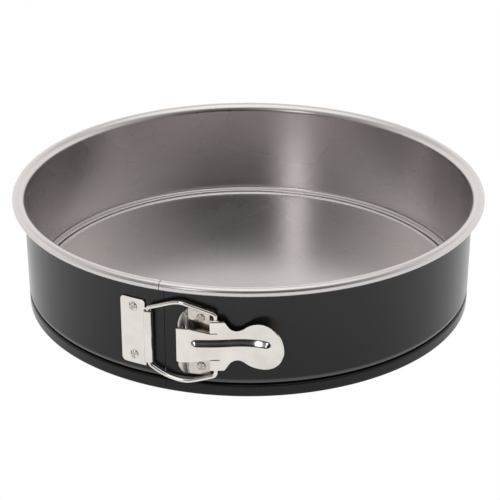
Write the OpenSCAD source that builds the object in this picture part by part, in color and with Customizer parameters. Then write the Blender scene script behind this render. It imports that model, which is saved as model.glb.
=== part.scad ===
// Springform pan: a split ring drawn shut by an over-centre latch, with a loose base plate.
// Origin at the centre of the pan on its resting plane, +Z up, the ring's seam towards -Y.

/* [Pan] */
// Outer radius of the straight wall
wall_r = 130.2; // [110:0.1:150]
// Overall height of the ring
height = 67; // [60:1:75]
// Thickness of the ring and base sheet
sheet = 0.8; // [0.6:0.1:0.9]
// How far the rolled rim stands out from the wall
rim_out = 6.8; // [6:0.1:8]
// Height of the rolled rim
rim_tall = 5; // [4.6:0.1:5.4]

/* [Foot of the ring] */
// Outer radius of the band that holds the base
band_r = 130.2; // [130:0.1:130.6]
// Height of the shoulder on top of the band
band_top = 7.2; // [6.9:0.1:7.6]
// How far the bead stands in from the wall's outer face
bead_in = 4.8; // [4:0.1:5.2]
// Inner radius of the lip under the base
lip_r = 124.2; // [122:0.1:124.4]

/* [Base] */
// Gap between the base's edge and the bead above it
base_gap = 0.4; // [0.3:0.1:0.8]
// Height of the flat floor
floor_top = 6.8; // [6:0.1:7]

/* [Latch] */
// Height of the latch's centre line
latch_z = 32.7; // [31:0.1:34]
// Thickness of the latch plates
plate = 1; // [0.8:0.1:1.2]
// Radius of the link's wire
wire_r = 1.2; // [1:0.1:1.2]
// Length of the knuckle that holds the link
knuckle_h = 30; // [28:1:31]
// Height of the two plates on the ring
plate_h = 39; // [38:0.5:39.5]
// Half the height of the lever's tongue
tongue_h = 9.6; // [9:0.1:9.7]
// Half the height of the lever across its ears
ears_h = 14.9; // [14:0.1:15.2]
// Radius of the lever's thumb end
thumb_r = 13.5; // [12:0.1:14]

/* [Hidden] */
$fn = 96;
arc_steps = 8;

// Centre lines of the ring's sheet, as radius and height
wall_c = wall_r - sheet / 2;
band_c = band_r - sheet / 2;
nose_bend = 0.65;
nose_r = wall_r - bead_in + nose_bend + sheet / 2;
nose_z = band_top - sheet / 2 + nose_bend;
ridge_bend = 4;
ridge_turn = 28;
hem_bend = 1.2;
ridge_c = [wall_c - ridge_bend, nose_z + nose_bend + hem_bend + (ridge_bend - hem_bend) * sin(ridge_turn)];
hem_c = ridge_c + (ridge_bend - hem_bend) * [cos(ridge_turn), -sin(ridge_turn)];
foot_bend = 0.9;
flare_bend = 4.2;
roll_bend = (rim_tall - sheet) / 2;
roll_c = wall_r + rim_out - sheet / 2;
top_c = height - sheet / 2;
roll_gap = 1.2;

// The ring is one strip with its ends at the seam. It flexes as it opens, so it is made as three arcs.
arc_span = 120;
seam_gap = 0.2;
seam_half = seam_gap / 2 / wall_r * 180 / PI;
lap_span = 4;
lap_gap = 0.4;
lap_bottom = 13;
lap_top = 59;
lap_join = 0.5;

base_r = wall_r - bead_in - base_gap;
edge_bead = 1;
edge_turn = 150;
edge_reach = 2.4;

// Plan positions of the latch's three axes at rest, closed
knuckle_wall = 1.1;
knuckle_r = wire_r + 0.1 + knuckle_wall;
link_x = -8.15;
link_r = wall_r + knuckle_r + 0.1;
link_axis = [link_x, -sqrt(link_r * link_r - link_x * link_x)];
lever_axis = [10.6, -135.64];
ear_axis = [28.4, -130.05];

// The link plate and the bracket across the front, from left to right
link_plate_left = -25.4;
link_plate_right = -10.8;
bracket_left = 13.2;
bracket_right = 24.7;
flange_foot = [bracket_left, -wall_r - plate / 2];
flange_bend = 9.5;
flange_tip = 0.6;
slot_h = tongue_h + 0.5;

// The link's wire: a straight leg in the knuckle, and two bowed arms whose tips stop short of the ears
link_reach = norm(ear_axis - link_axis);
link_bow = 1.2;
leg_h = 16;
tip_gap = 0.3;
arm_sides = 12;
arm = [
    [0, leg_h - 1], [0, leg_h + 0.2], [0.4, leg_h + 1], [1.4, leg_h + 1.8], [6, 19.9], [12, 22.4], [17.5, 24],
    [19.5, 24.3], [21.5, 23.8], [34, 19.7], [link_reach - 1, 19], [link_reach - 0.2, 18.2],
    [link_reach, 17.2], [link_reach, ears_h + tip_gap]
];

// The lever in plan: it leaves the pin at a slant, hugs the wall to its neck, then flares out to the thumb end
curl_r = 2;
pin_r = 0.7;
slant = 11.7;
hug_r = 107;
hug_turn = 15;
flare_r = 35.6;
flare_turn = 47;
lever_start = lever_axis + curl_r * [sin(slant), -cos(slant)];
hug_c = lever_start - hug_r * [sin(slant), -cos(slant)];
hug_end = slant + hug_turn;
flare_c = hug_c + (hug_r + flare_r) * [sin(hug_end), -cos(hug_end)];

// The lever seen from the front
ears_from = 26.3;
ears_to = 32.5;
ear_w = 4.6;
ear_back = -127.9;
neck_x = 40.3;
neck_h = 8.6;
neck_cut = 7;
thumb_x = 51.2;
rib_half = 3.6;
rib_from = 20;
rib_to = 54.3;
rib_rise = 1.2;
tongue_reach = 17;
shoulder = [2, 0.2];

// The rivets: how far across and up they sit, their radius and how far their heads stand out
rivet_rise = 14.3;
link_rivet = [-18.1, 2.8, 1.2];
bracket_rivet = [20.2, 2.3, 1.4];
head_round = 1.3;

// Reach of the blocks that outlines are driven through, from in front of the latch to inside the wall
front_y = 145;
front_depth = 30;

// Points on an arc about c, from angle a to angle b
function arc(c, r, a, b, n = arc_steps) =
    [for (i = [0:n]) c + r * [cos(a + (b - a) * i / n), sin(a + (b - a) * i / n)]];

// The same arc moved sideways: a left turn tightens on its left, a right turn widens
function bend(c, r, a, b, side) = arc(c, b > a ? r - side : r + side, a, b);

// One face of the ring's sheet, from the lip's edge to the end of the rolled rim
function ring_face(side) = concat(
    [[lip_r, sheet / 2 + side]],
    bend([band_c - foot_bend, sheet / 2 + foot_bend], foot_bend, -90, 0, side),
    bend([band_c - foot_bend, band_top - sheet / 2 - foot_bend], foot_bend, 0, 90, side),
    bend([nose_r, nose_z], nose_bend, 270, 90, side),
    bend(hem_c, hem_bend, -90, -ridge_turn, side),
    bend(ridge_c, ridge_bend, -ridge_turn, 0, side),
    bend([wall_c + flare_bend, top_c - flare_bend], flare_bend, 180, 90, side),
    bend([roll_c - roll_bend, top_c - roll_bend], roll_bend, 90, -90, side),
    [[wall_c + sheet + roll_gap, top_c - 2 * roll_bend - side]]
);

function reversed(list) = [for (i = [len(list) - 1:-1:0]) list[i]];
function unit(v) = v / norm(v);
function heading(v) = atan2(v[1], v[0]);

module ring_section() {
    polygon(concat(ring_face(sheet / 2), reversed(ring_face(-sheet / 2))));
}

// A stretch of the ring, by angle from the seam, anticlockwise from above
module ring_arc(from, to) {
    rotate([0, 0, -90]) rotate_extrude(angle = to - from, start = from) ring_section();
}

// A curved slab against the wall, by angle from the seam
module wall_slab(from, to, low, high, r_in, r_out) {
    rotate([0, 0, -90]) rotate_extrude(angle = to - from, start = from)
        translate([r_in, low]) square([r_out - r_in, high - low]);
}

// Drives a front-view outline through the latch, from y to the wall
module from_front(y, depth) {
    translate([0, y + depth, latch_z]) rotate([90, 0, 0]) linear_extrude(depth) children();
}

module rounded(x0, x1, half_h, r_left, r_right) {
    module corner(x, z, r) {
        translate([x, z]) circle(r);
    }
    union() {
        translate([x0 + r_left, -half_h]) square([x1 - x0 - r_left - r_right, 2 * half_h]);
        translate([x0, -half_h + r_left]) square([r_left, 2 * (half_h - r_left)]);
        translate([x1 - r_right, -half_h + r_right]) square([r_right, 2 * (half_h - r_right)]);
        for (s = [-1, 1]) {
            corner(x0 + r_left, s * (half_h - r_left), r_left);
            corner(x1 - r_right, s * (half_h - r_right), r_right);
        }
    }
}

module ring_back() {
    color("dimgray") ring_arc(arc_span / 2 + 60, arc_span * 3 / 2 + 60);
}

// The left side carries the lap: a tongue that closes the seam from inside
module ring_left() {
    lap_r = wall_r - sheet - lap_gap;
    color("dimgray") {
        ring_arc(-arc_span, -seam_half);
        wall_slab(-lap_span, lap_span, lap_bottom, lap_top, lap_r - sheet, lap_r);
        wall_slab(-lap_span, -seam_half - lap_join, lap_bottom, lap_top, lap_r, wall_r - sheet);
    }
}

module ring_right() {
    color("dimgray") ring_arc(seam_half, arc_span);
}

// A flat floor with a raised rounded edge and a skirt that stands on the lip
module base_plate() {
    skirt_in = base_r - sheet;
    edge = [base_r - edge_bead, floor_top];
    color("darkgray") rotate_extrude() polygon(concat(
        [[0, floor_top - sheet], [skirt_in, floor_top - sheet], [skirt_in, sheet], [base_r, sheet]],
        arc(edge, edge_bead, 0, edge_turn),
        [[base_r - edge_reach, floor_top], [0, floor_top]]
    ));
}

module link_plate() {
    outer = wall_r + plate;
    web = 2 * (link_axis[0] - link_plate_right);
    color("gainsboro") difference() {
        union() {
            intersection() {
                wall_slab(-14, -2, latch_z - plate_h / 2, latch_z + plate_h / 2, wall_r, outer);
                from_front(-front_y, front_depth) rounded(link_plate_left, link_plate_right, plate_h / 2, 2.2, 0.6);
            }
            intersection() {
                wall_slab(-6, -3.2, latch_z - knuckle_h / 2, latch_z + knuckle_h / 2, wall_r, outer);
                from_front(-front_y, front_depth) translate([link_plate_right - 1, -knuckle_h / 2])
                    square([1 + web / 2, knuckle_h]);
            }
            translate([link_axis[0], link_axis[1], latch_z - knuckle_h / 2]) cylinder(r = knuckle_r, h = knuckle_h);
        }
        translate([link_axis[0], link_axis[1], latch_z - knuckle_h]) cylinder(r = wire_r + 0.1, h = 2 * knuckle_h);
    }
}

// A staked head, set on a plate dz above the latch's centre line
module staked_head(rivet, dz) {
    seat = wall_r + plate;
    turn = asin(rivet[0] / seat);
    r = rivet[1];
    rise = rivet[2];
    rotate([0, 0, turn]) translate([0, -seat, latch_z + dz]) rotate([90, 0, 0]) intersection() {
        translate([0, 0, rise - r * head_round]) sphere(r * head_round);
        cylinder(r = r, h = 2 * rise);
    }
}

module link_plate_rivet_upper() {
    color("silver") staked_head(link_rivet, rivet_rise);
}

module link_plate_rivet_lower() {
    color("silver") staked_head(link_rivet, -rivet_rise);
}

module bracket_rivet_upper() {
    color("silver") staked_head(bracket_rivet, rivet_rise);
}

module bracket_rivet_lower() {
    color("silver") staked_head(bracket_rivet, -rivet_rise);
}

// The direction of the wire at each of the upper arm's points, which start inside the leg
function along(i) =
    unit((i > 0 ? unit(arm[i] - arm[i - 1]) : [0, 0]) + (i < len(arm) - 1 ? unit(arm[i + 1] - arm[i]) : [0, 0]));
function arm_ring(i, r) = [for (k = [0:arm_sides - 1])
    let (a = 360 * k / arm_sides, d = along(i))
    [arm[i][0] - r * cos(a) * d[1], arm[i][1] + r * cos(a) * d[0], r * sin(a) + link_bow * sin(180 * arm[i][0] / link_reach)]];

module arm_tube() {
    rings = len(arm);
    points = [for (i = [0:rings - 1]) for (p = arm_ring(i, i == 0 ? wire_r - 0.1 : wire_r)) p];
    sides = [for (i = [0:rings - 2]) for (k = [0:arm_sides - 1])
        let (j = (k + 1) % arm_sides, lower = i * arm_sides, upper = lower + arm_sides)
        each [[lower + k, upper + k, upper + j], [lower + k, upper + j, lower + j]]];
    start = [for (k = [0:arm_sides - 1]) k];
    end = [for (k = [arm_sides - 1:-1:0]) (rings - 1) * arm_sides + k];
    polyhedron(points, concat(sides, [start, end]));
}

module wire_link() {
    color("silver") translate([link_axis[0], link_axis[1], latch_z]) {
        translate([0, 0, -leg_h]) cylinder(r = wire_r, h = 2 * leg_h);
        rotate([0, 0, heading(ear_axis - link_axis)]) rotate([90, 0, 0]) {
            arm_tube();
            mirror([0, 1, 0]) arm_tube();
        }
    }
}

// A plate on the wall with a flared flange, slotted so that its edge is the lever's hinge pin
module lever_bracket() {
    flare = lever_axis - flange_foot;
    reach = norm(flare);
    curl_room = curl_r + 0.4;
    color("gainsboro") union() {
        intersection() {
            wall_slab(4, 14, latch_z - plate_h / 2, latch_z + plate_h / 2, wall_r, wall_r + plate);
            from_front(-front_y, front_depth) rounded(bracket_left - 0.4, bracket_right, plate_h / 2, 0.3, 1);
        }
        translate([flange_foot[0], flange_foot[1], latch_z]) rotate([0, 0, heading(flare)]) rotate([90, 0, 0])
            linear_extrude(plate, center = true) difference() {
                intersection() {
                    translate([-0.4, -plate_h / 2 + 0.3]) square([reach + 1.1, plate_h - 0.6]);
                    union() {
                        translate([-1, -slot_h]) square([reach + flange_tip + 1, 2 * slot_h]);
                        for (s = [-1, 1]) translate([reach + flange_tip - flange_bend, s * slot_h]) circle(flange_bend);
                    }
                }
                translate([reach - curl_room, -slot_h]) square([2 * curl_room, 2 * slot_h]);
            }
        translate([lever_axis[0], lever_axis[1], latch_z - slot_h - 1]) cylinder(r = pin_r, h = 2 * slot_h + 2);
    }
}

module lever_outline() {
    difference() {
        union() {
            translate([lever_axis[0], -tongue_h]) square([tongue_reach, 2 * tongue_h]);
            translate([ears_from, -ears_h]) square([ears_to - ears_from, 2 * ears_h]);
            polygon([[ears_to, -ears_h], [ears_to, ears_h], [ears_to + shoulder[0], ears_h - shoulder[1]],
                     [neck_x, neck_h], [neck_x, -neck_h], [ears_to + shoulder[0], shoulder[1] - ears_h]]);
            translate([ears_to, -neck_h]) square([thumb_x - ears_to, 2 * neck_h]);
            translate([thumb_x, 0]) circle(thumb_r);
        }
        for (s = [-1, 1]) translate([neck_x, s * (neck_h + neck_cut)]) circle(neck_cut);
    }
}

// The lever's sheet in plan, from one depth to another, outwards from its outer face
function lever_face(side) = concat(
    arc(hug_c, hug_r + side, slant - 90, hug_end - 90),
    arc(flare_c, flare_r - side, hug_end + 90, hug_end + 90 - flare_turn, 2 * arc_steps)
);
module lever_plan(outer, inner) {
    translate([0, 0, latch_z - plate_h / 2]) linear_extrude(plate_h)
        polygon(concat(lever_face(outer), reversed(lever_face(inner))));
}

module lever() {
    color("gainsboro") difference() {
        union() {
            intersection() {
                from_front(-front_y, front_depth) lever_outline();
                lever_plan(0, -plate);
            }
            // The raised rib
            intersection() {
                from_front(-front_y, front_depth) {
                    translate([rib_from, -rib_half]) square([rib_to - rib_from, 2 * rib_half]);
                    for (x = [rib_from, rib_to]) translate([x, 0]) circle(rib_half);
                }
                lever_plan(rib_rise, -plate / 2);
            }
            // The curl round the hinge pin
            translate([lever_axis[0], lever_axis[1], latch_z - tongue_h]) cylinder(r = curl_r, h = 2 * tongue_h);
            // The two ears, bent back towards the wall
            for (s = [-1, 1]) translate([0, 0, latch_z + s * (ears_h - plate / 2)]) linear_extrude(plate, center = true)
                intersection() {
                    translate(hug_c) circle(hug_r - plate / 2);
                    translate([ears_from, -front_y]) square([ear_w, front_y + ear_back]);
                }
        }
        translate([lever_axis[0], lever_axis[1], latch_z - plate_h / 2]) cylinder(r = pin_r + 0.3, h = plate_h);
        translate([ear_axis[0], ear_axis[1], latch_z - plate_h / 2]) cylinder(r = wire_r + 0.25, h = plate_h);
    }
}

ring_back();
ring_left();
ring_right();
base_plate();
link_plate();
link_plate_rivet_upper();
link_plate_rivet_lower();
wire_link();
lever_bracket();
bracket_rivet_upper();
bracket_rivet_lower();
lever();
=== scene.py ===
"""A springform pan's looks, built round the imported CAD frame. Shapes are worked out in millimetres."""

import math

import bpy
import numpy as np
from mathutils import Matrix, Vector
from mathutils.geometry import delaunay_2d_cdt


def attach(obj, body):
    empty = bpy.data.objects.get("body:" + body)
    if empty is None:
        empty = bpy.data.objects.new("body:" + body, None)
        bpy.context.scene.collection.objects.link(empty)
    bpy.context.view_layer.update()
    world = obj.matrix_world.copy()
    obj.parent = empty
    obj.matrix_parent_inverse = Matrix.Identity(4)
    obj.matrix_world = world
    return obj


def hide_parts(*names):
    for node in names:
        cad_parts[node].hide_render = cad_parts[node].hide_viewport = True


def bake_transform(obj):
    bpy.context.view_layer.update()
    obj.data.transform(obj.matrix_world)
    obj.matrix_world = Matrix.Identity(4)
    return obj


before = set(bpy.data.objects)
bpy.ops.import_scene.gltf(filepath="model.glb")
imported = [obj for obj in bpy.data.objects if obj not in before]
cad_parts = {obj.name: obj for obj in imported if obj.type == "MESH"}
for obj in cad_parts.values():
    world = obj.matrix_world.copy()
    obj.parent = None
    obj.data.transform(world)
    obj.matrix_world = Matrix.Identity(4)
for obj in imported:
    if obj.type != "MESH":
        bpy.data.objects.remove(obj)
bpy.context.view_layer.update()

MM = 0.001

# ---------------------------------------------------------------- sizes, in mm, as the CAD source has them
SHEET = 0.8
WALL_R = 130.2
PLATE = 1.0
SEAT_R = WALL_R + PLATE  # the outer face of a plate that lies on the wall
LATCH_Z = 32.7
LINK_AXIS = np.array([-8.15, -132.449])
PIN_AXIS = np.array([10.6, -135.64])
EAR_AXIS = np.array([28.4, -130.05])
WIRE_R = 1.2
SEAM_HALF = 0.15
RIVET_RISE = 14.3
RING_TOP = 67.0

# ---------------------------------------------------------------- mesh making
WELD_DECIMALS = 4  # points that agree to this many decimals of a mm become one
NUDGE = 0.01  # the small move that a slope is measured over


def unit(vectors):
    return vectors / np.linalg.norm(vectors, axis=1, keepdims=True)


class Piece:
    """Gathers patches of surface, then makes one mesh with exact normals.
    Patches meet where their points coincide."""

    def __init__(self, name, materials):
        self.name, self.materials = name, materials
        self.points, self.faces, self.normals, self.slots = [], [], [], []
        self.count = 0

    def add(self, points, faces, normals, slot=0):
        """Adds faces, each turned so that it looks the way its normals do."""
        points, normals = np.asarray(points, float), np.asarray(normals, float)
        self.points.append(points)
        for face in faces:
            loop = [int(i) for i in face]
            corners = normals[loop]
            diagonal, other = points[loop[2]] - points[loop[0]], points[loop[-1]] - points[loop[1]]
            if np.dot(np.cross(diagonal, other), corners.sum(0)) < 0:
                loop.reverse()
                corners = corners[::-1]
            self.faces.append([i + self.count for i in loop])
            self.normals.append(corners)
            self.slots.append(slot)
        self.count += len(points)

    def grid(self, points, normals, slot=0, wrap=False):
        """Quads over points shaped (rows, columns, 3). With wrap, the last column meets the first."""
        points = np.asarray(points, float)
        rows, columns = points.shape[:2]
        faces = []
        for i in range(rows - 1):
            this, following = i * columns, (i + 1) * columns
            for j in range(columns if wrap else columns - 1):
                beside = (j + 1) % columns
                faces.append((this + j, following + j, following + beside, this + beside))
        self.add(points.reshape(-1, 3), faces, np.asarray(normals, float).reshape(-1, 3), slot)

    def cap(self, rim, tip, normal):
        """Closes a loop of points with a fan to its tip."""
        points = np.stack([rim, np.broadcast_to(tip, rim.shape)])
        self.grid(points, np.broadcast_to(normal, points.shape), wrap=True)

    def build(self):
        """Welds the patches and links one object to the scene."""
        points = np.concatenate(self.points)
        _, first, inverse = np.unique(
            np.round(points, WELD_DECIMALS), axis=0, return_index=True, return_inverse=True
        )
        inverse = inverse.reshape(-1)
        verts, faces, normals, slots = points[first] * MM, [], [], []
        for face, corners, slot in zip(self.faces, self.normals, self.slots):
            loop, kept = [], []
            for i, corner in zip(face, corners):
                vert = int(inverse[i])
                if vert not in loop:
                    loop.append(vert)
                    kept.append(corner)
            if len(loop) > 2:
                faces.append(loop)
                normals.extend(kept)
                slots.append(slot)
        mesh = bpy.data.meshes.new(self.name)
        mesh.from_pydata(verts.tolist(), [], faces)
        for coat in self.materials:
            mesh.materials.append(coat)
        mesh.polygons.foreach_set("material_index", slots)
        mesh.polygons.foreach_set("use_smooth", [True] * len(faces))
        mesh.normals_split_custom_set(unit(np.asarray(normals)).tolist())
        mesh.update()
        made = bpy.data.objects.new(self.name, mesh)
        bpy.context.scene.collection.objects.link(made)
        return made


def arc(centre_x, centre_y, radius, start, stop, step):
    """Points round a circle, from one angle to another in degrees."""
    count = max(2, int(math.ceil(abs(stop - start) / step)))
    angles = np.radians(np.linspace(start, stop, count + 1))
    return [(centre_x + radius * math.cos(t), centre_y + radius * math.sin(t)) for t in angles]


PROFILE_STEP = 9  # degrees


def sheet_profile(parts, offset):
    """One face of a sheet, offset to the right of travel from its centre line. The line is a chain of bends
    (x, z, radius, from, to) and points with a normal (x, z, nx, nz). Gives rows of x, z, nx, nz."""
    rows = []
    for part in parts:
        if len(part) == 4:
            x, z, nx, nz = part
            rows.append((x + nx * offset, z + nz * offset, nx, nz))
            continue
        x, z, radius, start, stop = part
        count = max(3, int(math.ceil(abs(stop - start) / PROFILE_STEP)))
        turn = 1 if stop > start else -1
        for t in np.radians(np.linspace(start, stop, count + 1)):
            nx, nz = turn * math.cos(t), turn * math.sin(t)
            line_x, line_z = x + radius * math.cos(t), z + radius * math.sin(t)
            rows.append((line_x + nx * offset, line_z + nz * offset, nx, nz))
    return np.array(rows)


def swept(rows, angles, sign=1):
    """Rows of r, z, nr, nz turned about Z through the angles from the seam, in degrees. Gives points and
    normals, the normals times sign."""
    angles = np.radians(angles)[:, None]
    sine, cosine = np.sin(angles), -np.cos(angles)
    r, z, nr, nz = (rows[None, :, k] for k in range(4))
    one = np.ones_like(angles)
    return (
        np.stack([r * sine, r * cosine, z * one], -1),
        sign * np.stack([nr * sine, nr * cosine, nz * one], -1),
    )


class Plan:
    """A sheet's outer face seen from above, as a chain of straights and arcs. A place on it is the run along
    it and how far it stands out, to the right of travel."""

    def __init__(self, start, heading, parts, origin=0.0):
        """parts are (length, curvature), and origin is the run at the start."""
        self.runs, self.knots, self.headings, self.curves = [origin], [np.array(start, float)], [heading], []
        for length, curve in parts:
            x, y, heading = self._step(self.knots[-1], self.headings[-1], curve, np.array([length]))
            self.curves.append(curve)
            self.runs.append(self.runs[-1] + length)
            self.knots.append(np.array([x[0], y[0]]))
            self.headings.append(float(heading[0]))

    @staticmethod
    def _step(point, heading, curve, run):
        if abs(curve) < 1e-9:
            return point[0] + run * math.cos(heading), point[1] + run * math.sin(heading), heading + 0 * run
        turned_to = heading + curve * run
        return (
            point[0] + (np.sin(turned_to) - math.sin(heading)) / curve,
            point[1] - (np.cos(turned_to) - math.cos(heading)) / curve,
            turned_to,
        )

    def at(self, run, out):
        run = np.asarray(run, float)
        x, y, heading = np.zeros_like(run), np.zeros_like(run), np.zeros_like(run)
        part = np.clip(np.searchsorted(self.runs, run, side="right") - 1, 0, len(self.curves) - 1)
        for i, curve in enumerate(self.curves):
            here = part == i
            if here.any():
                past = run[here] - self.runs[i]
                x[here], y[here], heading[here] = self._step(self.knots[i], self.headings[i], curve, past)
        return x + out * np.sin(heading), y - out * np.cos(heading)


CORNER_STEP = math.radians(15)
CORNER_SHARE = 0.49  # the most that one corner's arc may use up of a side


def rounded(corners, step):
    """A closed outline from corners (x, y, radius), with its straights and arcs cut into short lengths."""
    out = []
    for i, (x, y, radius) in enumerate(corners):
        corner = np.array([x, y], float)
        if radius <= 0:
            out.append(corner)
            continue
        back = np.array(corners[i - 1][:2], float) - corner
        ahead = np.array(corners[(i + 1) % len(corners)][:2], float) - corner
        back_length, ahead_length = np.linalg.norm(back), np.linalg.norm(ahead)
        back, ahead = back / back_length, ahead / ahead_length
        half = math.acos(max(-1, min(1, float(back @ ahead)))) / 2
        cut = min(radius / math.tan(half), CORNER_SHARE * back_length, CORNER_SHARE * ahead_length)
        radius = cut * math.tan(half)
        centre = corner + (back + ahead) / np.linalg.norm(back + ahead) * (radius / math.sin(half))
        first, last = corner + back * cut - centre, corner + ahead * cut - centre
        sweep = math.pi - 2 * half
        count = max(3, int(math.ceil(sweep / CORNER_STEP)), int(math.ceil(sweep * radius / step)))
        turn = math.copysign(1, first[0] * last[1] - first[1] * last[0])
        for t in np.linspace(0, turn * sweep, count + 1):
            cosine, sine = math.cos(t), math.sin(t)
            offset = [first[0] * cosine - first[1] * sine, first[0] * sine + first[1] * cosine]
            out.append(centre + np.array(offset))
    return resampled(out, step)


def resampled(loop, step):
    """A closed outline cut into lengths of at most step, without doubled points."""
    out = []
    for i, here in enumerate(loop):
        here, following = np.array(here, float), np.array(loop[(i + 1) % len(loop)], float)
        gap = np.linalg.norm(following - here)
        if gap < 1e-4:
            continue
        count = max(1, int(math.ceil(gap / step)))
        out.extend(here + (following - here) * j / count for j in range(count))
    return np.array(out)


def loop_normals(loop, outer):
    """Directions out of the material round a closed outline (outer) or a hole."""
    area = np.sum(loop[:, 0] * np.roll(loop[:, 1], -1) - np.roll(loop[:, 0], -1) * loop[:, 1])
    edges = unit(np.roll(loop, -1, 0) - loop)
    normals = np.stack([edges[:, 1], -edges[:, 0]], -1) * math.copysign(1, area) * (1 if outer else -1)
    normals = normals + np.roll(normals, 1, 0)
    return normals / np.maximum(np.linalg.norm(normals, axis=1, keepdims=True), 1e-6)


def inside(points, loops):
    """Which points lie inside an odd number of loops."""
    hit = np.zeros(len(points), bool)
    x, y = points[:, 0], points[:, 1]
    for loop in loops:
        for (x0, y0), (x1, y1) in zip(loop, np.roll(loop, -1, 0)):
            if y0 != y1:
                crossed = (y0 > y) != (y1 > y)
                hit ^= crossed & (x < (x1 - x0) * (y - y0) / (y1 - y0) + x0)
    return hit


INSIDE_ONLY = 1  # the triangulation keeps what lies inside its edges
LATTICE_CLEAR = 0.55  # how near, in steps, the lattice may come to an edge
SHOULDER_OUT, SHOULDER_DOWN = 0.7, 0.3  # the middle row of a rounded edge, in parts of its size


def cut_flat(loops, low, high, step):
    """A flat blank inside the loops: its points and triangles. A lattice from low to high fills it."""
    rim = np.concatenate(loops)
    lattice = np.meshgrid(np.arange(low[0], high[0], step), np.arange(low[1], high[1], step), indexing="ij")
    lattice = np.stack(lattice, -1).reshape(-1, 2)
    lattice = lattice[inside(lattice, loops)]
    near = np.array([np.min(np.sum((rim - point) ** 2, 1)) for point in lattice])
    lattice = lattice[near > (LATTICE_CLEAR * step) ** 2]
    edges, start = [], 0
    for loop in loops:
        edges += [(start + i, start + (i + 1) % len(loop)) for i in range(len(loop))]
        start += len(loop)
    points = [Vector(point) for point in np.concatenate([rim, lattice])]
    points, _, faces, _, _, _ = delaunay_2d_cdt(points, edges, [], INSIDE_ONLY, 1e-5)
    points = np.array([(point.x, point.y) for point in points])
    middles = np.array([points[list(face)].mean(0) for face in faces])
    return points, [face for face, kept in zip(faces, inside(middles, loops)) if kept]


def pressed(piece, outline, place, thickness=PLATE, holes=(), step=0.6, edge=0.14):
    """Cuts a flat blank and presses it: place(u, v, w) puts a point of the blank in space, w from -thickness
    to 0. Its outer and inner faces end in small rounded edges."""
    loops = [np.asarray(outline)] + [np.asarray(hole) for hole in holes]
    outs = [loop_normals(loop, i == 0) for i, loop in enumerate(loops)]
    inner = [loop - edge * out for loop, out in zip(loops, outs)]
    flat, faces = cut_flat(inner, loops[0].min(0) + step / 2, loops[0].max(0), step)

    def put(uv, w):
        return place(uv[:, 0], uv[:, 1], np.full(len(uv), float(w)))

    def facing(uv, w):
        along_u = put(uv + [NUDGE, 0], w) - put(uv - [NUDGE, 0], w)
        along_v = put(uv + [0, NUDGE], w) - put(uv - [0, NUDGE], w)
        normals = np.cross(along_u, along_v)
        out = put(uv, w + NUDGE) - put(uv, w - NUDGE)
        normals *= np.sign(np.sum(normals * out, 1))[:, None]
        return unit(normals)

    for w, sign in ((0.0, 1), (-thickness, -1)):
        piece.add(put(flat, w), faces, sign * facing(flat, w))
    for loop, ring, out in zip(loops, inner, outs):
        side = unit(put(loop + NUDGE * out, -thickness / 2) - put(loop, -thickness / 2))
        over, under = facing(ring, 0), -facing(ring, -thickness)
        shoulder = ring + (loop - ring) * SHOULDER_OUT
        rows = [
            (put(ring, 0), over),
            (put(shoulder, -edge * SHOULDER_DOWN), unit(side + over)),
            (put(loop, -edge), side),
            (put(loop, edge - thickness), side),
            (put(shoulder, edge * SHOULDER_DOWN - thickness), unit(side + under)),
            (put(ring, -thickness), under),
        ]
        for (points, normals), (next_points, next_normals) in zip(rows, rows[1:]):
            piece.grid(np.stack([points, next_points]), np.stack([normals, next_normals]), wrap=True)


# ---------------------------------------------------------------- materials
def node(tree, kind, **settings):
    """A new node. A setting is one of its properties, or else one of its sockets, with _ for a space."""
    made = tree.nodes.new(kind)
    for key, value in settings.items():
        if hasattr(made, key):
            setattr(made, key, value)
        else:
            made.inputs[key.replace("_", " ")].default_value = value
    return made


def ramp(tree, source, stops):
    """A colour ramp over (position, value or colour)."""
    made = node(tree, "ShaderNodeValToRGB")
    elements = made.color_ramp.elements
    while len(elements) < len(stops):
        elements.new(0.5)
    for element, (position, value) in zip(elements, stops):
        element.position = position
        element.color = (*value, 1) if isinstance(value, tuple) else (value, value, value, 1)
    tree.links.new(source, made.inputs["Fac"])
    return made


def principled(coat):
    return coat.node_tree.nodes["Principled BSDF"]


def material(name, colour, metallic, roughness):
    coat = bpy.data.materials.new(name)
    coat.use_nodes = True
    sockets = principled(coat).inputs
    sockets["Base Color"].default_value = (*colour, 1)
    sockets["Metallic"].default_value = metallic
    sockets["Roughness"].default_value = roughness
    return coat


def noise(coat, scale, detail, stretch=(1, 1, 1)):
    """Noise in object space, scale in cycles per metre."""
    tree = coat.node_tree
    where = node(tree, "ShaderNodeTexCoord")
    mapping = node(tree, "ShaderNodeMapping", Scale=stretch)
    made = node(tree, "ShaderNodeTexNoise", Scale=scale, Detail=detail, Roughness=0.5)
    tree.links.new(where.outputs["Object"], mapping.inputs["Vector"])
    tree.links.new(mapping.outputs["Vector"], made.inputs["Vector"])
    return made.outputs["Fac"]


def shade(coat, socket, source, stops):
    """Drives one of the shader's sockets by a ramp over the source."""
    made = ramp(coat.node_tree, source, stops)
    coat.node_tree.links.new(made.outputs["Color"], principled(coat).inputs[socket])


def bump(coat, sources):
    """Chains bumps of (height, strength, distance)."""
    links, last = coat.node_tree.links, None
    for source, strength, distance in sources:
        made = node(coat.node_tree, "ShaderNodeBump", Strength=strength, Distance=distance)
        links.new(source, made.inputs["Height"])
        if last:
            links.new(last.outputs["Normal"], made.inputs["Normal"])
        last = made
    links.new(last.outputs["Normal"], principled(coat).inputs["Normal"])


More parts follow.
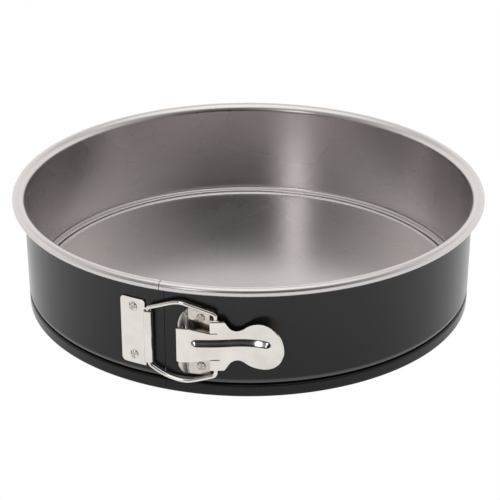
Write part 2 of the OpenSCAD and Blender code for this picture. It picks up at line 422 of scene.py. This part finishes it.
# The silver-grey coating of the inside and the rim: a satin metallic paint with a fine fleck
inside_coat = material("silver_grey_coating", (0.62, 0.59, 0.585), 1.0, 0.3)
fleck = noise(inside_coat, 2600, 3)
shade(inside_coat, "Base Color", fleck, [(0.3, (0.6, 0.57, 0.565)), (0.7, (0.65, 0.62, 0.615))])
shade(inside_coat, "Roughness", noise(inside_coat, 14, 3), [(0.25, 0.23), (0.75, 0.31)])
bump(inside_coat, [(fleck, 0.02, 0.00003)])

# The black coating of the outside: smooth and half glossy
outside_coat = material("black_coating", (0.012, 0.0115, 0.011), 0.0, 0.2)
principled(outside_coat).inputs["Specular IOR Level"].default_value = 0.3
speck = noise(outside_coat, 3000, 2)
shade(outside_coat, "Base Color", speck, [(0.35, (0.009, 0.0085, 0.008)), (0.75, (0.018, 0.017, 0.016))])
shade(outside_coat, "Roughness", noise(outside_coat, 30, 3), [(0.25, 0.16), (0.75, 0.24)])
bump(outside_coat, [(noise(outside_coat, 420, 2), 0.05, 0.00006)])

# Painted highlight and shade: the shine is set by height, most on the ridge above the foot band (a painted
# highlight) and least on the band (painted shade). The stops are parts of the ring's height: the band, the
# ridge, then the wall up to the rim.
PAINTED_SHINE_BY_HEIGHT = [(0.0, 0.2), (0.118, 0.2), (0.127, 0.9), (0.152, 0.8), (0.166, 0.26), (0.9, 0.36)]
black_tree = outside_coat.node_tree
position = node(black_tree, "ShaderNodeTexCoord")
position_xyz = node(black_tree, "ShaderNodeSeparateXYZ")
level = node(black_tree, "ShaderNodeMapRange", From_Max=RING_TOP * MM)
black_tree.links.new(position.outputs["Object"], position_xyz.inputs[0])
black_tree.links.new(position_xyz.outputs["Z"], level.inputs["Value"])
# the shine by height: a painted highlight on the ridge, painted shade on the band
shade(outside_coat, "Specular IOR Level", level.outputs["Result"], PAINTED_SHINE_BY_HEIGHT)

# Nickel plating: bright, with faint stamping marks and soft rolling lines
nickel = material("nickel_plate", (0.73, 0.69, 0.645), 1.0, 0.12)
rolled = noise(nickel, 900, 3, stretch=(1, 1, 0.12))
smudge = noise(nickel, 70, 4)
shade(nickel, "Base Color", smudge, [(0.3, (0.69, 0.65, 0.605)), (0.7, (0.79, 0.75, 0.705))])
shade(nickel, "Roughness", noise(nickel, 160, 4), [(0.25, 0.08), (0.75, 0.2)])
bump(nickel, [(rolled, 0.06, 0.00004), (smudge, 0.06, 0.0003)])

# A darker copy of the nickel plating for the bracket: painted shade, for its place tucked away behind the
# lever
shaded_nickel = material("nickel_plate_painted_shade", (0.55, 0.51, 0.47), 1.0, 0.16)
shaded_mottle = noise(shaded_nickel, 110, 4)
shade(shaded_nickel, "Base Color", shaded_mottle, [(0.3, (0.46, 0.42, 0.385)), (0.7, (0.66, 0.62, 0.575))])
shade(shaded_nickel, "Roughness", noise(shaded_nickel, 200, 3), [(0.25, 0.1), (0.75, 0.22)])
bump(shaded_nickel, [(shaded_mottle, 0.08, 0.0003)])

# The cut ends of the ring's sheet: bare steel with a drag grain
cut_steel = material("cut_steel", (0.32, 0.31, 0.3), 1.0, 0.35)
shade(cut_steel, "Roughness", noise(cut_steel, 4000, 2, stretch=(1, 1, 0.1)), [(0.3, 0.3), (0.7, 0.5)])

COATS = [inside_coat, outside_coat, cut_steel]
SILVER, BLACK, BARE = 0, 1, 2

# ---------------------------------------------------------------- the ring
RING_LINE = [
    (124.2, 0.4, 0, -1),  # the inner edge of the lip that carries the base
    (128.9, 1.3, 0.9, -90, 0),  # up into the foot band
    (128.9, 5.9, 0.9, 0, 90),  # the top of the band, turning in
    (126.45, 7.45, 0.65, 270, 90),  # the nose: a fold inwards, just outside the base's bead
    (128.272, 9.3, 1.2, -90, -28),  # out again, and up
    (125.8, 10.6145, 4.0, -28, 0),  # the ridge, easing into the wall
    (134.0, 62.4, 4.2, 180, 90),  # the flare under the rim
    (134.5, 64.5, 2.1, 90, -90),  # the rolled rim
    (131.8, 62.4, 0, 1),  # the roll's edge, just short of the wall
]
RING_STEPS = 200
outer_face = sheet_profile(RING_LINE, SHEET / 2)
inner_face = sheet_profile(RING_LINE, -SHEET / 2)


def ring_half(name, turn):
    """Half the ring, from the seam round to the back. turn is -1 for the left half and 1 for the right."""
    piece = Piece(name, COATS)
    seam = math.degrees(SEAM_HALF / WALL_R)
    angles = turn * np.linspace(seam, 180, RING_STEPS + 1)
    for rows, sign, slot in ((inner_face, -1, SILVER), (outer_face, 1, BLACK)):
        points, normals = swept(rows, angles, sign)
        piece.grid(points, normals, slot)
    for row in (0, -1):  # the sheet's two long edges, which both look inwards
        strip = np.stack([inner_face[row], outer_face[row]])
        strip[:, 2:] = (-1, 0)
        points, normals = swept(strip, angles)
        piece.grid(points, normals, BARE)
    for angle, way in ((angles[0], -turn), (angles[-1], turn)):  # its two ends
        radians = np.radians(angle)
        tangent = way * np.array([math.cos(radians), math.sin(radians), 0.0])
        points = np.stack([swept(rows, np.array([angle]))[0][0] for rows in (inner_face, outer_face)])
        piece.grid(points, np.broadcast_to(tangent, points.shape), BARE)
    return piece.build()


for side, turn in (("left", -1), ("right", 1)):
    half = ring_half(f"ring_{side}_half", turn)
    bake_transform(half)
    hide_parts(f"ring_{side}", "ring_back")

# The lap: a tongue on the left end that closes the seam from inside
LAP_R = WALL_R - SHEET
LAP_GAP = 0.005  # between the lap and the wall in front of it
LAP_JOG, JOG_FROM, JOG_RUN = 0.4, -0.8, 0.7  # it steps in a little before the seam
LAP_HALF, LAP_LOW, LAP_HIGH = 9, 13, 59


def lap_place(u, v, w):
    """u is the angle from the seam in mm of arc, stepping inwards to pass behind the right end."""
    step_in = LAP_JOG * np.clip((u - JOG_FROM) / JOG_RUN, 0, 1)
    radius = LAP_R - LAP_GAP - step_in + w
    angle = u / LAP_R
    return np.stack([radius * np.sin(angle), -radius * np.cos(angle), v], -1)


lap_piece = Piece("seam_lap", [inside_coat])
lap_outline = [
    (-LAP_HALF, LAP_LOW, 0.8),
    (LAP_HALF, LAP_LOW, 2),
    (LAP_HALF, LAP_HIGH, 2),
    (-LAP_HALF, LAP_HIGH, 0.8),
]
pressed(lap_piece, rounded(lap_outline, 1.0), lap_place, SHEET, step=1.5, edge=0.1)
lap = lap_piece.build()
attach(lap, "left_side")

# ---------------------------------------------------------------- the base
BASE_TOP = 6.8
BASE_UNDER = 6.0
BASE_R = 125.0
BEAD_R = 1.0
BEAD_X = BASE_R - BEAD_R
RIM_IN = 124.2  # the inner face of the turned-down edge
RIM_FOOT = 0.8
FLAT_X = 60  # a ring of points half way out, so that no triangle of the flat is too long
base_piece = Piece("base_disc", COATS)


def turned(rows, slot):
    points, normals = swept(np.array(rows, float), np.linspace(0, 360, 241))
    base_piece.grid(points, normals, slot)


bead = [
    (BEAD_X + BEAD_R * math.cos(t), BASE_TOP + BEAD_R * math.sin(t), math.cos(t), math.sin(t))
    for t in np.radians(np.linspace(145, 0, 14))
]
flat_rows = [(0, BASE_TOP, 0, 1), (FLAT_X, BASE_TOP, 0, 1), (122.2, BASE_TOP, 0, 1)]
bead_foot = (122.7, BASE_TOP + 0.12, -0.35, 0.94)
turned(flat_rows + [bead_foot, bead[0]], SILVER)
turned(bead, SILVER)
turned([(BASE_R, BASE_TOP, 1, 0), (BASE_R, RIM_FOOT, 1, 0)], BLACK)
turned([(BASE_R, RIM_FOOT, 0, -1), (RIM_IN, RIM_FOOT, 0, -1)], BARE)
turned([(RIM_IN, RIM_FOOT, -1, 0), (RIM_IN, BASE_UNDER, -1, 0)], BLACK)
turned([(RIM_IN, BASE_UNDER, 0, -1), (FLAT_X, BASE_UNDER, 0, -1), (0, BASE_UNDER, 0, -1)], BLACK)
base = base_piece.build()
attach(base, "base")
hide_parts("base_plate")


# ---------------------------------------------------------------- the link plate and its knuckle
def on_plan(plan):
    """A place() for pressed(): along the plan, up from the latch's centre line, out from the outer face."""

    def place(u, v, w):
        x, y = plan.at(u, w)
        return np.stack([x, y, LATCH_Z + v], -1)

    return place


PLATE_LEFT, SHOULDER_X = -25.5, -10.9
PLATE_UP, KNUCKLE_UP = 19.5, 15.0
KNUCKLE_TURN = math.radians(285)
plate_angle = math.asin(PLATE_LEFT / SEAT_R)
knuckle_angle = math.atan2(LINK_AXIS[0], -LINK_AXIS[1])
bore_r = float(np.hypot(*LINK_AXIS)) - SEAT_R
plate_run = (knuckle_angle - plate_angle) * SEAT_R
knuckle_run = KNUCKLE_TURN * bore_r
shoulder_at = plate_run - (LINK_AXIS[0] - SHOULDER_X)
knuckle_from, knuckle_to = plate_run + 0.3, plate_run + knuckle_run
link_plan = Plan(
    SEAT_R * np.array([math.sin(plate_angle), -math.cos(plate_angle)]),
    plate_angle,
    [(plate_run, 1 / SEAT_R), (knuckle_run, -1 / bore_r)],
)
plate_corners = [
    (0, -PLATE_UP, 2.4),
    (shoulder_at, -PLATE_UP, 0.3),
    (shoulder_at, -15.3, 0.2),
    (knuckle_from, -KNUCKLE_UP, 0.3),
    (knuckle_to, -KNUCKLE_UP, 0),
    (knuckle_to, KNUCKLE_UP, 0),
    (knuckle_from, KNUCKLE_UP, 0.3),
    (shoulder_at, 15.5, 0.2),
    (shoulder_at, PLATE_UP, 1.8),
    (0, PLATE_UP, 2.4),
]
link_plate_piece = Piece("link_plate_sheet", [nickel])
pressed(link_plate_piece, rounded(plate_corners, 0.5), on_plan(link_plan), step=0.7)
link_plate = link_plate_piece.build()
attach(link_plate, "left_side")
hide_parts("link_plate")

# ---------------------------------------------------------------- the staked rivets
HEAD_RINGS, HEAD_SPOKES = 14, 64
GROOVE_HALF, GROOVE_DEPTH = 0.38, 0.8
HEAD_FOOT = 0.3
STEEPEST = 3
CLOSED_PART = 0.85  # the inside head's radius, as part of the outside one's
# the head inside the wall, as part of its radius, depth and slope
CLOSED_HEAD = ((0, 0.45, 0.0), (0.6, 0.44, 0.1), (0.85, 0.36, 0.5), (0.97, 0.2, 1.2), (1.0, -0.1, 4.0))


def rivet(name, x, dz, head_r, rise, turn_degrees, body, node_name):
    """A staked head: a low dome pressed into four petals by a cross-shaped punch. A flat head closes it on
    the inside of the wall."""
    piece = Piece(name, [nickel])
    across = math.asin(x / SEAT_R)
    out = np.array([math.sin(across), -math.cos(across), 0.0])
    right = np.array([math.cos(across), math.sin(across), 0.0])
    up = np.array([0.0, 0.0, 1.0])
    centre = out * SEAT_R + up * (LATCH_Z + dz)
    radii = np.linspace(0, 1, HEAD_RINGS)[:, None] * head_r
    spokes = np.linspace(0, 2 * math.pi, HEAD_SPOKES, endpoint=False)[None, :]
    punch_turn = math.radians(turn_degrees)

    def height(right_by, up_by):
        radius, angle = np.hypot(right_by, up_by), np.arctan2(up_by, right_by)
        part = np.clip(radius / head_r, 0, 1)
        dome = np.sqrt(np.clip(1 - part**2, 0, 1))
        off_groove = radius * np.abs(np.sin(2 * (angle - punch_turn))) / 2
        groove = np.exp(-((off_groove / GROOVE_HALF) ** 2)) * np.clip(radius / 0.5, 0.75, 1)
        return rise * dome * (1 - GROOVE_DEPTH * groove * (1 - 0.75 * part**3))

    right_by, up_by, nudge = radii * np.cos(spokes), radii * np.sin(spokes), 0.02
    right_slope = (height(right_by + nudge, up_by) - height(right_by - nudge, up_by)) / (2 * nudge)
    up_slope = (height(right_by, up_by + nudge) - height(right_by, up_by - nudge)) / (2 * nudge)
    right_slope = np.clip(right_slope, -STEEPEST, STEEPEST)
    up_slope = np.clip(up_slope, -STEEPEST, STEEPEST)
    lift = height(right_by, up_by)
    points = centre + right_by[..., None] * right + up_by[..., None] * up + lift[..., None] * out
    piece.grid(points, out - right_slope[..., None] * right - up_slope[..., None] * up, wrap=True)

    spread = np.cos(spokes[0])[:, None] * right + np.sin(spokes[0])[:, None] * up
    rim = points[-1]
    foot = rim - HEAD_FOOT * out
    piece.grid(np.stack([rim, foot]), np.stack([spread, spread]), wrap=True)
    piece.cap(foot, foot.mean(0), -out)

    seat = out * (WALL_R - SHEET) + up * (LATCH_Z + dz)
    closed_r = CLOSED_PART * head_r
    closed = np.array([seat + part * closed_r * spread - deep * out for part, deep, _ in CLOSED_HEAD])
    piece.grid(closed, np.array([-out + slope * spread for _, _, slope in CLOSED_HEAD]), wrap=True)
    piece.cap(closed[-1], closed[-1].mean(0), out)
    made = piece.build()
    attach(made, body)
    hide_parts(node_name)


# name, x, height over the latch's centre line, radius, rise, turn of the cross in degrees, body, CAD node
RIVETS = [
    ("link_rivet_top", -18.1, RIVET_RISE, 2.8, 1.45, 20, "left_side", "link_plate_rivet_upper"),
    ("link_rivet_bottom", -18.1, -RIVET_RISE, 2.8, 1.45, 32, "left_side", "link_plate_rivet_lower"),
    ("bracket_rivet_top", 20.2, RIVET_RISE, 2.3, 1.6, 12, "right_side", "bracket_rivet_upper"),
    ("bracket_rivet_bottom", 20.2, -RIVET_RISE, 2.3, 1.6, 40, "right_side", "bracket_rivet_lower"),
]
for row in RIVETS:
    rivet(*row)

# ---------------------------------------------------------------- the bracket with its flared, slotted flange
FLANGE_FOOT = np.array([13.2, -WALL_R - PLATE / 2])
BRACKET_RIGHT = 24.9
PIN_HALF = 0.7
BEND_R = 0.9
flare = FLANGE_FOOT - PIN_AXIS
flare_heading = math.atan2(flare[1], flare[0])
flare_out = np.array([math.sin(flare_heading), -math.cos(flare_heading)])
flange_start = PIN_AXIS - PIN_HALF * flare / np.linalg.norm(flare) + PLATE / 2 * flare_out

# The flange's length and its bend are found by trial, so that the bend ends flat against the wall
straight, turn_in = 5.0, math.radians(56)
for _ in range(40):
    trial = Plan(flange_start, flare_heading, [(straight, 0), (turn_in * BEND_R, -1 / BEND_R)])
    bend_x, bend_y = trial.knots[-1]
    straight += (np.hypot(bend_x, bend_y) - SEAT_R) / max(0.3, math.sin(flare_heading))
    turn_in = flare_heading - math.atan2(bend_x, -bend_y)
bend_end = straight + turn_in * BEND_R
bracket_end = bend_end + (math.asin(BRACKET_RIGHT / SEAT_R) - math.atan2(bend_x, -bend_y)) * SEAT_R
bracket_plan = Plan(
    flange_start,
    flare_heading,
    [(straight, 0), (turn_in * BEND_R, -1 / BEND_R), (bracket_end - bend_end, 1 / SEAT_R)],
)
EDGE_UP = 9.4  # half the height of the flange's straight edge
ROUND_R, BRACKET_UP = 9.6, 19.5
upper_edge = (
    [(0, EDGE_UP)]
    + [(max(x, 0.0), y) for x, y in arc(ROUND_R - 0.3, 10.1, ROUND_R, 180, 100, 6) if y > 9.6]
    + [(ROUND_R - 1.2, BRACKET_UP), (bracket_end - 1.0, BRACKET_UP)]
    + [(bracket_end - 0.3, 19.2), (bracket_end, 18.5)]
)
bracket_outline = resampled(upper_edge + [(x, -y) for x, y in reversed(upper_edge)], 0.5)
SLOT_TO, SLOT_UP = 5.0, 10.1
slot_corners = [
    (2 * PIN_HALF, -SLOT_UP, 0.4),
    (SLOT_TO, -SLOT_UP, 0.6),
    (SLOT_TO, SLOT_UP, 0.6),
    (2 * PIN_HALF, SLOT_UP, 0.4),
]
# the bracket takes the darker copy of the nickel: painted shade
bracket_piece = Piece("lever_bracket_sheet", [shaded_nickel])
pressed(bracket_piece, bracket_outline, on_plan(bracket_plan), holes=[rounded(slot_corners, 0.5)], step=0.7)
bracket = bracket_piece.build()
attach(bracket, "right_side")
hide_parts("lever_bracket")

# ---------------------------------------------------------------- the lever
SLANT = math.radians(11.7)
CURL_R = 2.0
CURL_TURN = math.radians(235)
HUG = (28.0, 1 / 107.0)  # length and curvature of the part that hugs the wall
FLARE = (30.0, -1 / 35.6)  # and of the thumb end that leaves it
curl_run = CURL_TURN * CURL_R
curl_from = SLANT - CURL_TURN
lever_plan = Plan(
    PIN_AXIS + CURL_R * np.array([math.sin(curl_from), -math.cos(curl_from)]),
    curl_from,
    [(curl_run, 1 / CURL_R), HUG, FLARE],
    origin=-curl_run,
)
EAR_TOP = 14.9
FOLD_R = 1.3
FOLD_AT = EAR_TOP - FOLD_R
RIB_FROM, RIB_TO, RIB_UP, RIB_HALF = 9.0, 45.5, -0.3, 5.3
RIB_RISE = 1.8


def rib(u, v):
    """A raised bead, rounded at its crest, its ends and its foot."""
    away = np.hypot(u - np.clip(u, RIB_FROM, RIB_TO), v - RIB_UP)
    return RIB_RISE / 2 * (1 + np.cos(math.pi * np.clip(away / RIB_HALF, 0, 1)))


def lever_place(u, v, w):
    """Past the fold line the sheet turns back towards the wall: that makes the ears."""
    past = np.abs(v) - FOLD_AT
    turn = np.clip(past / FOLD_R, 0, math.pi / 2)
    back = np.maximum(past - FOLD_R * math.pi / 2, 0)
    folded = past > 0
    lift = np.where(folded, -FOLD_R + (FOLD_R + w) * np.cos(turn) - back, w + rib(u, v))
    high = np.where(folded, FOLD_AT + (FOLD_R + w) * np.sin(turn), np.abs(v))
    x, y = lever_plan.at(u, lift)
    return np.stack([x, y, LATCH_Z + np.sign(v) * high], -1)


NECK_U, NECK_V, NECK_CUT = 30.3, 8.6, 5.3
THUMB_U, THUMB_R = 42.5, 13.1
EAR_U, EAR_R = 18.1, 2.1
HOLE_V = FOLD_AT + FOLD_R * math.pi / 2 + 1.33
HOLE_R = WIRE_R + 0.2


def lever_side(tongue, slit_v, slit_to):
    """One long edge of the blank: from the tongue, round the slit, the ear, the neck and the thumb."""
    edge = [(-curl_run, tongue), (5.4, tongue), (15.9, slit_v)]
    edge += [(slit_to, slit_v - 0.1), (slit_to + 0.15, slit_v + 0.1), (slit_to, slit_v + 0.3)]
    edge += [(16.1, slit_v + 0.35), (16.0, 12.6), (16.0, FOLD_AT + 0.6), (16.2, FOLD_AT + 1.3)]
    edge += arc(EAR_U, HOLE_V, EAR_R, 195, 0, 15)
    edge += [(EAR_U + 2.5, FOLD_AT + 1.4), (EAR_U + 2.9, FOLD_AT + 1.0), (23.4, FOLD_AT + 1.0)]
    edge += arc(NECK_U, NECK_V + NECK_CUT, NECK_CUT, 214, 293, 8)
    meet = math.degrees(math.atan2(NECK_V + NECK_CUT, NECK_U - THUMB_U))
    edge += arc(THUMB_U, 0, THUMB_R, meet, 0, 5)
    return edge


upper_side = lever_side(9.9, 7.4, 19.8)
lower_side = lever_side(9.55, 7.9, 21.0)
lever_outline = resampled(upper_side + [(x, -y) for x, y in reversed(lower_side[:-1])], 0.5)
ear_holes = [np.array(arc(EAR_U, way * HOLE_V, HOLE_R, 0, 345, 15)) for way in (1, -1)]
lever_piece = Piece("lever_sheet", [nickel])
pressed(lever_piece, lever_outline, lever_place, holes=ear_holes, step=0.5)
lever = lever_piece.build()
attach(lever, "lever")
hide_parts("lever")

# ---------------------------------------------------------------- the wire link
# Each arm goes from the knuckle's middle to its tip in the lever's ear, as (along, up or down)
REACH = float(np.linalg.norm(EAR_AXIS - LINK_AXIS))
LINK_BOW = 1.2
UPPER_ARM = [
    (0, 0), (0, 15.2), (0.5, 16.7), (2.0, 17.5), (5.5, 18.9), (9, 20.3), (13, 21.8), (17, 22.7),
    (20, 22.5), (23, 21.6), (28, 20.3), (33, 18.8), (35.4, 18.0), (36.4, 17.0), (REACH, 15.8), (REACH, 13.4),
]
LOWER_ARM = [
    (0, 0), (0, 15.2), (0.5, 16.8), (2.0, 18.0), (5.5, 19.8), (9, 21.3), (13, 22.4), (17, 23.1),
    (20, 23.2), (23, 22.8), (28, 21.3), (33, 19.6), (35.4, 18.7), (36.4, 17.5), (REACH, 16.0), (REACH, 13.4),
]
WIRE_SIDES = 20
TIP_RISE = 0.35  # how far a tip's cone stands out, as part of the wire's radius


def wire_line(arm):
    """Half the link's centre line, smoothed through its points, as along, out and up."""
    half = np.array([(u, LINK_BOW * math.sin(math.pi * u / REACH), v) for u, v in arm])
    line = []
    for i in range(len(half) - 1):
        before, start, stop = half[max(i - 1, 0)], half[i], half[i + 1]
        after = half[min(i + 2, len(half) - 1)]
        length = np.linalg.norm(stop - start)
        leave, arrive = (stop - before) / 2, (after - start) / 2
        leave = leave / max(np.linalg.norm(leave), 1e-9) * length
        arrive = arrive / max(np.linalg.norm(arrive), 1e-9) * length
        for t in np.linspace(0, 1, 8, endpoint=False):
            at_stop = 3 * t**2 - 2 * t**3
            bend = (t**3 - 2 * t**2 + t) * leave + (t**3 - t**2) * arrive
            line.append((1 - at_stop) * start + at_stop * stop + bend)
    line.append(half[-1])
    return np.array(line)


def tube(piece, line, radius):
    """A round wire along a line, with a low cone on each end."""
    travel = unit(np.gradient(line, axis=0))
    reference = np.array([0.0, 1.0, 0.0])
    rings, normals = [], []
    for point, direction in zip(line, travel):
        across = reference - direction * (reference @ direction)
        across /= np.linalg.norm(across)
        over = np.cross(direction, across)
        turns = np.linspace(0, 2 * math.pi, WIRE_SIDES, endpoint=False)
        spokes = [math.cos(t) * across + math.sin(t) * over for t in turns]
        rings.append([point + radius * spoke for spoke in spokes])
        normals.append(spokes)
    rings = np.array(rings)
    piece.grid(rings, np.array(normals), wrap=True)
    for i, way in ((0, -1), (-1, 1)):
        piece.cap(rings[i], line[i] + way * travel[i] * radius * TIP_RISE, way * travel[i])


centre_line = np.concatenate([(wire_line(LOWER_ARM) * [1, 1, -1])[:0:-1], wire_line(UPPER_ARM)])
along = (EAR_AXIS - LINK_AXIS) / REACH
outward = np.array([along[1], -along[0]])
wire_plan = LINK_AXIS + centre_line[:, :1] * along + centre_line[:, 1:2] * outward
wire_piece = Piece("link_wire", [nickel])
tube(wire_piece, np.concatenate([wire_plan, LATCH_Z + centre_line[:, 2:]], 1), WIRE_R)
wire = wire_piece.build()
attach(wire, "link")
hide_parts("wire_link")

# ---------------------------------------------------------------- floor, light and camera, in metres
FLOOR_HALF, FLOOR_DROP = 3, 0.0002
floor_mesh = bpy.data.meshes.new("floor")
floor_corners = [(x * FLOOR_HALF, y * FLOOR_HALF, 0) for x, y in ((-1, -1), (1, -1), (1, 1), (-1, 1))]
floor_mesh.from_pydata(floor_corners, [], [(0, 1, 2, 3)])
floor = bpy.data.objects.new("floor", floor_mesh)
bpy.context.scene.collection.objects.link(floor)
floor.location.z = -FLOOR_DROP
paper = bpy.data.materials.new("white_floor")
paper.use_nodes = True
paper.node_tree.nodes.clear()
paper_glow = node(paper.node_tree, "ShaderNodeEmission", Color=(1, 1, 1, 1), Strength=1.0)
paper_out = node(paper.node_tree, "ShaderNodeOutputMaterial")
paper.node_tree.links.new(paper_glow.outputs[0], paper_out.inputs["Surface"])
floor_mesh.materials.append(paper)

CAMERA_TURN = math.radians(19.7)
CAMERA_REACH, CAMERA_UP, AIM_UP = 0.8647, 0.4390, 0.0243
towards_camera = (math.sin(CAMERA_TURN), -math.cos(CAMERA_TURN))

# The studio: brightness by the sine of the height above the horizon, on the camera's side and behind the pan
SKY_AHEAD = [
    (0.0, 0.02), (0.25, 0.02), (0.43, 0.05), (0.53, 0.24), (0.6, 0.04), (0.8, 0.04), (0.88, 1.3), (1.0, 1.5),
]
SKY_BEHIND = [(0.0, 1.1), (0.45, 1.15), (0.7, 0.6), (0.88, 1.3), (1.0, 1.5)]
studio = bpy.data.worlds.new("studio")
bpy.context.scene.world = studio
studio.use_nodes = True
sky = studio.node_tree
sky.nodes.clear()


def warm(stops):
    return [(position, (value, value * 0.985, value * 0.965)) for position, value in stops]


direction = node(sky, "ShaderNodeTexCoord")
direction_xyz = node(sky, "ShaderNodeSeparateXYZ")
sky.links.new(direction.outputs["Generated"], direction_xyz.inputs[0])
front = node(sky, "ShaderNodeVectorMath", operation="DOT_PRODUCT")
sky.links.new(direction.outputs["Generated"], front.inputs[0])
front.inputs[1].default_value = (*towards_camera, 0)
ahead = ramp(sky, direction_xyz.outputs["Z"], warm(SKY_AHEAD))
behind = ramp(sky, direction_xyz.outputs["Z"], warm(SKY_BEHIND))
# From the one to the other by how far a direction points at the camera
side_mix = node(sky, "ShaderNodeMapRange", From_Min=-0.2, From_Max=0.85)
sky.links.new(front.outputs["Value"], side_mix.inputs["Value"])
both = node(sky, "ShaderNodeMix", data_type="RGBA")
sky.links.new(side_mix.outputs["Result"], both.inputs["Factor"])
# 6, 7 and 2 are the mix's colours A and B and its result
sky.links.new(behind.outputs["Color"], both.inputs[6])
sky.links.new(ahead.outputs["Color"], both.inputs[7])
sky_glow = node(sky, "ShaderNodeBackground", Strength=1.0)
sky.links.new(both.outputs[2], sky_glow.inputs["Color"])
sky_out = node(sky, "ShaderNodeOutputWorld")
sky.links.new(sky_glow.outputs[0], sky_out.inputs["Surface"])


def looking(thing, where, at):
    """Places a light or the camera, and turns it to look at a point."""
    thing.location = where
    thing.rotation_mode = "QUATERNION"
    thing.rotation_quaternion = (Vector(at) - thing.location).to_track_quat("-Z", "Y")
    bpy.context.scene.collection.objects.link(thing)


# A tall strip beside the camera: the streak down the inside of the back wall and over the base
STRIP_TURN = CAMERA_TURN - math.radians(27)
STRIP_REACH, STRIP_UP, STRIP_AIM_UP = 1.8, 0.92, 0.03
strip_data = bpy.data.lights.new("strip", "AREA")
strip_data.shape, strip_data.size, strip_data.size_y = "RECTANGLE", 0.3, 0.9
strip_data.energy = 2.6
strip_place = (STRIP_REACH * math.sin(STRIP_TURN), -STRIP_REACH * math.cos(STRIP_TURN), STRIP_UP)
looking(bpy.data.objects.new("strip", strip_data), strip_place, (0, 0, STRIP_AIM_UP))

camera_data = bpy.data.cameras.new("camera")
camera_data.sensor_width = 36
camera_data.lens = 115.97
camera_data.shift_x = 0.0031
camera_data.shift_y = -0.001
camera_data.clip_end = 20
camera = bpy.data.objects.new("camera", camera_data)
camera_place = (towards_camera[0] * CAMERA_REACH, towards_camera[1] * CAMERA_REACH, CAMERA_UP)
looking(camera, camera_place, (0, 0, AIM_UP))
bpy.context.scene.camera = camera
bpy.context.scene.view_settings.view_transform = "Standard"

bpy.context.view_layer.update()
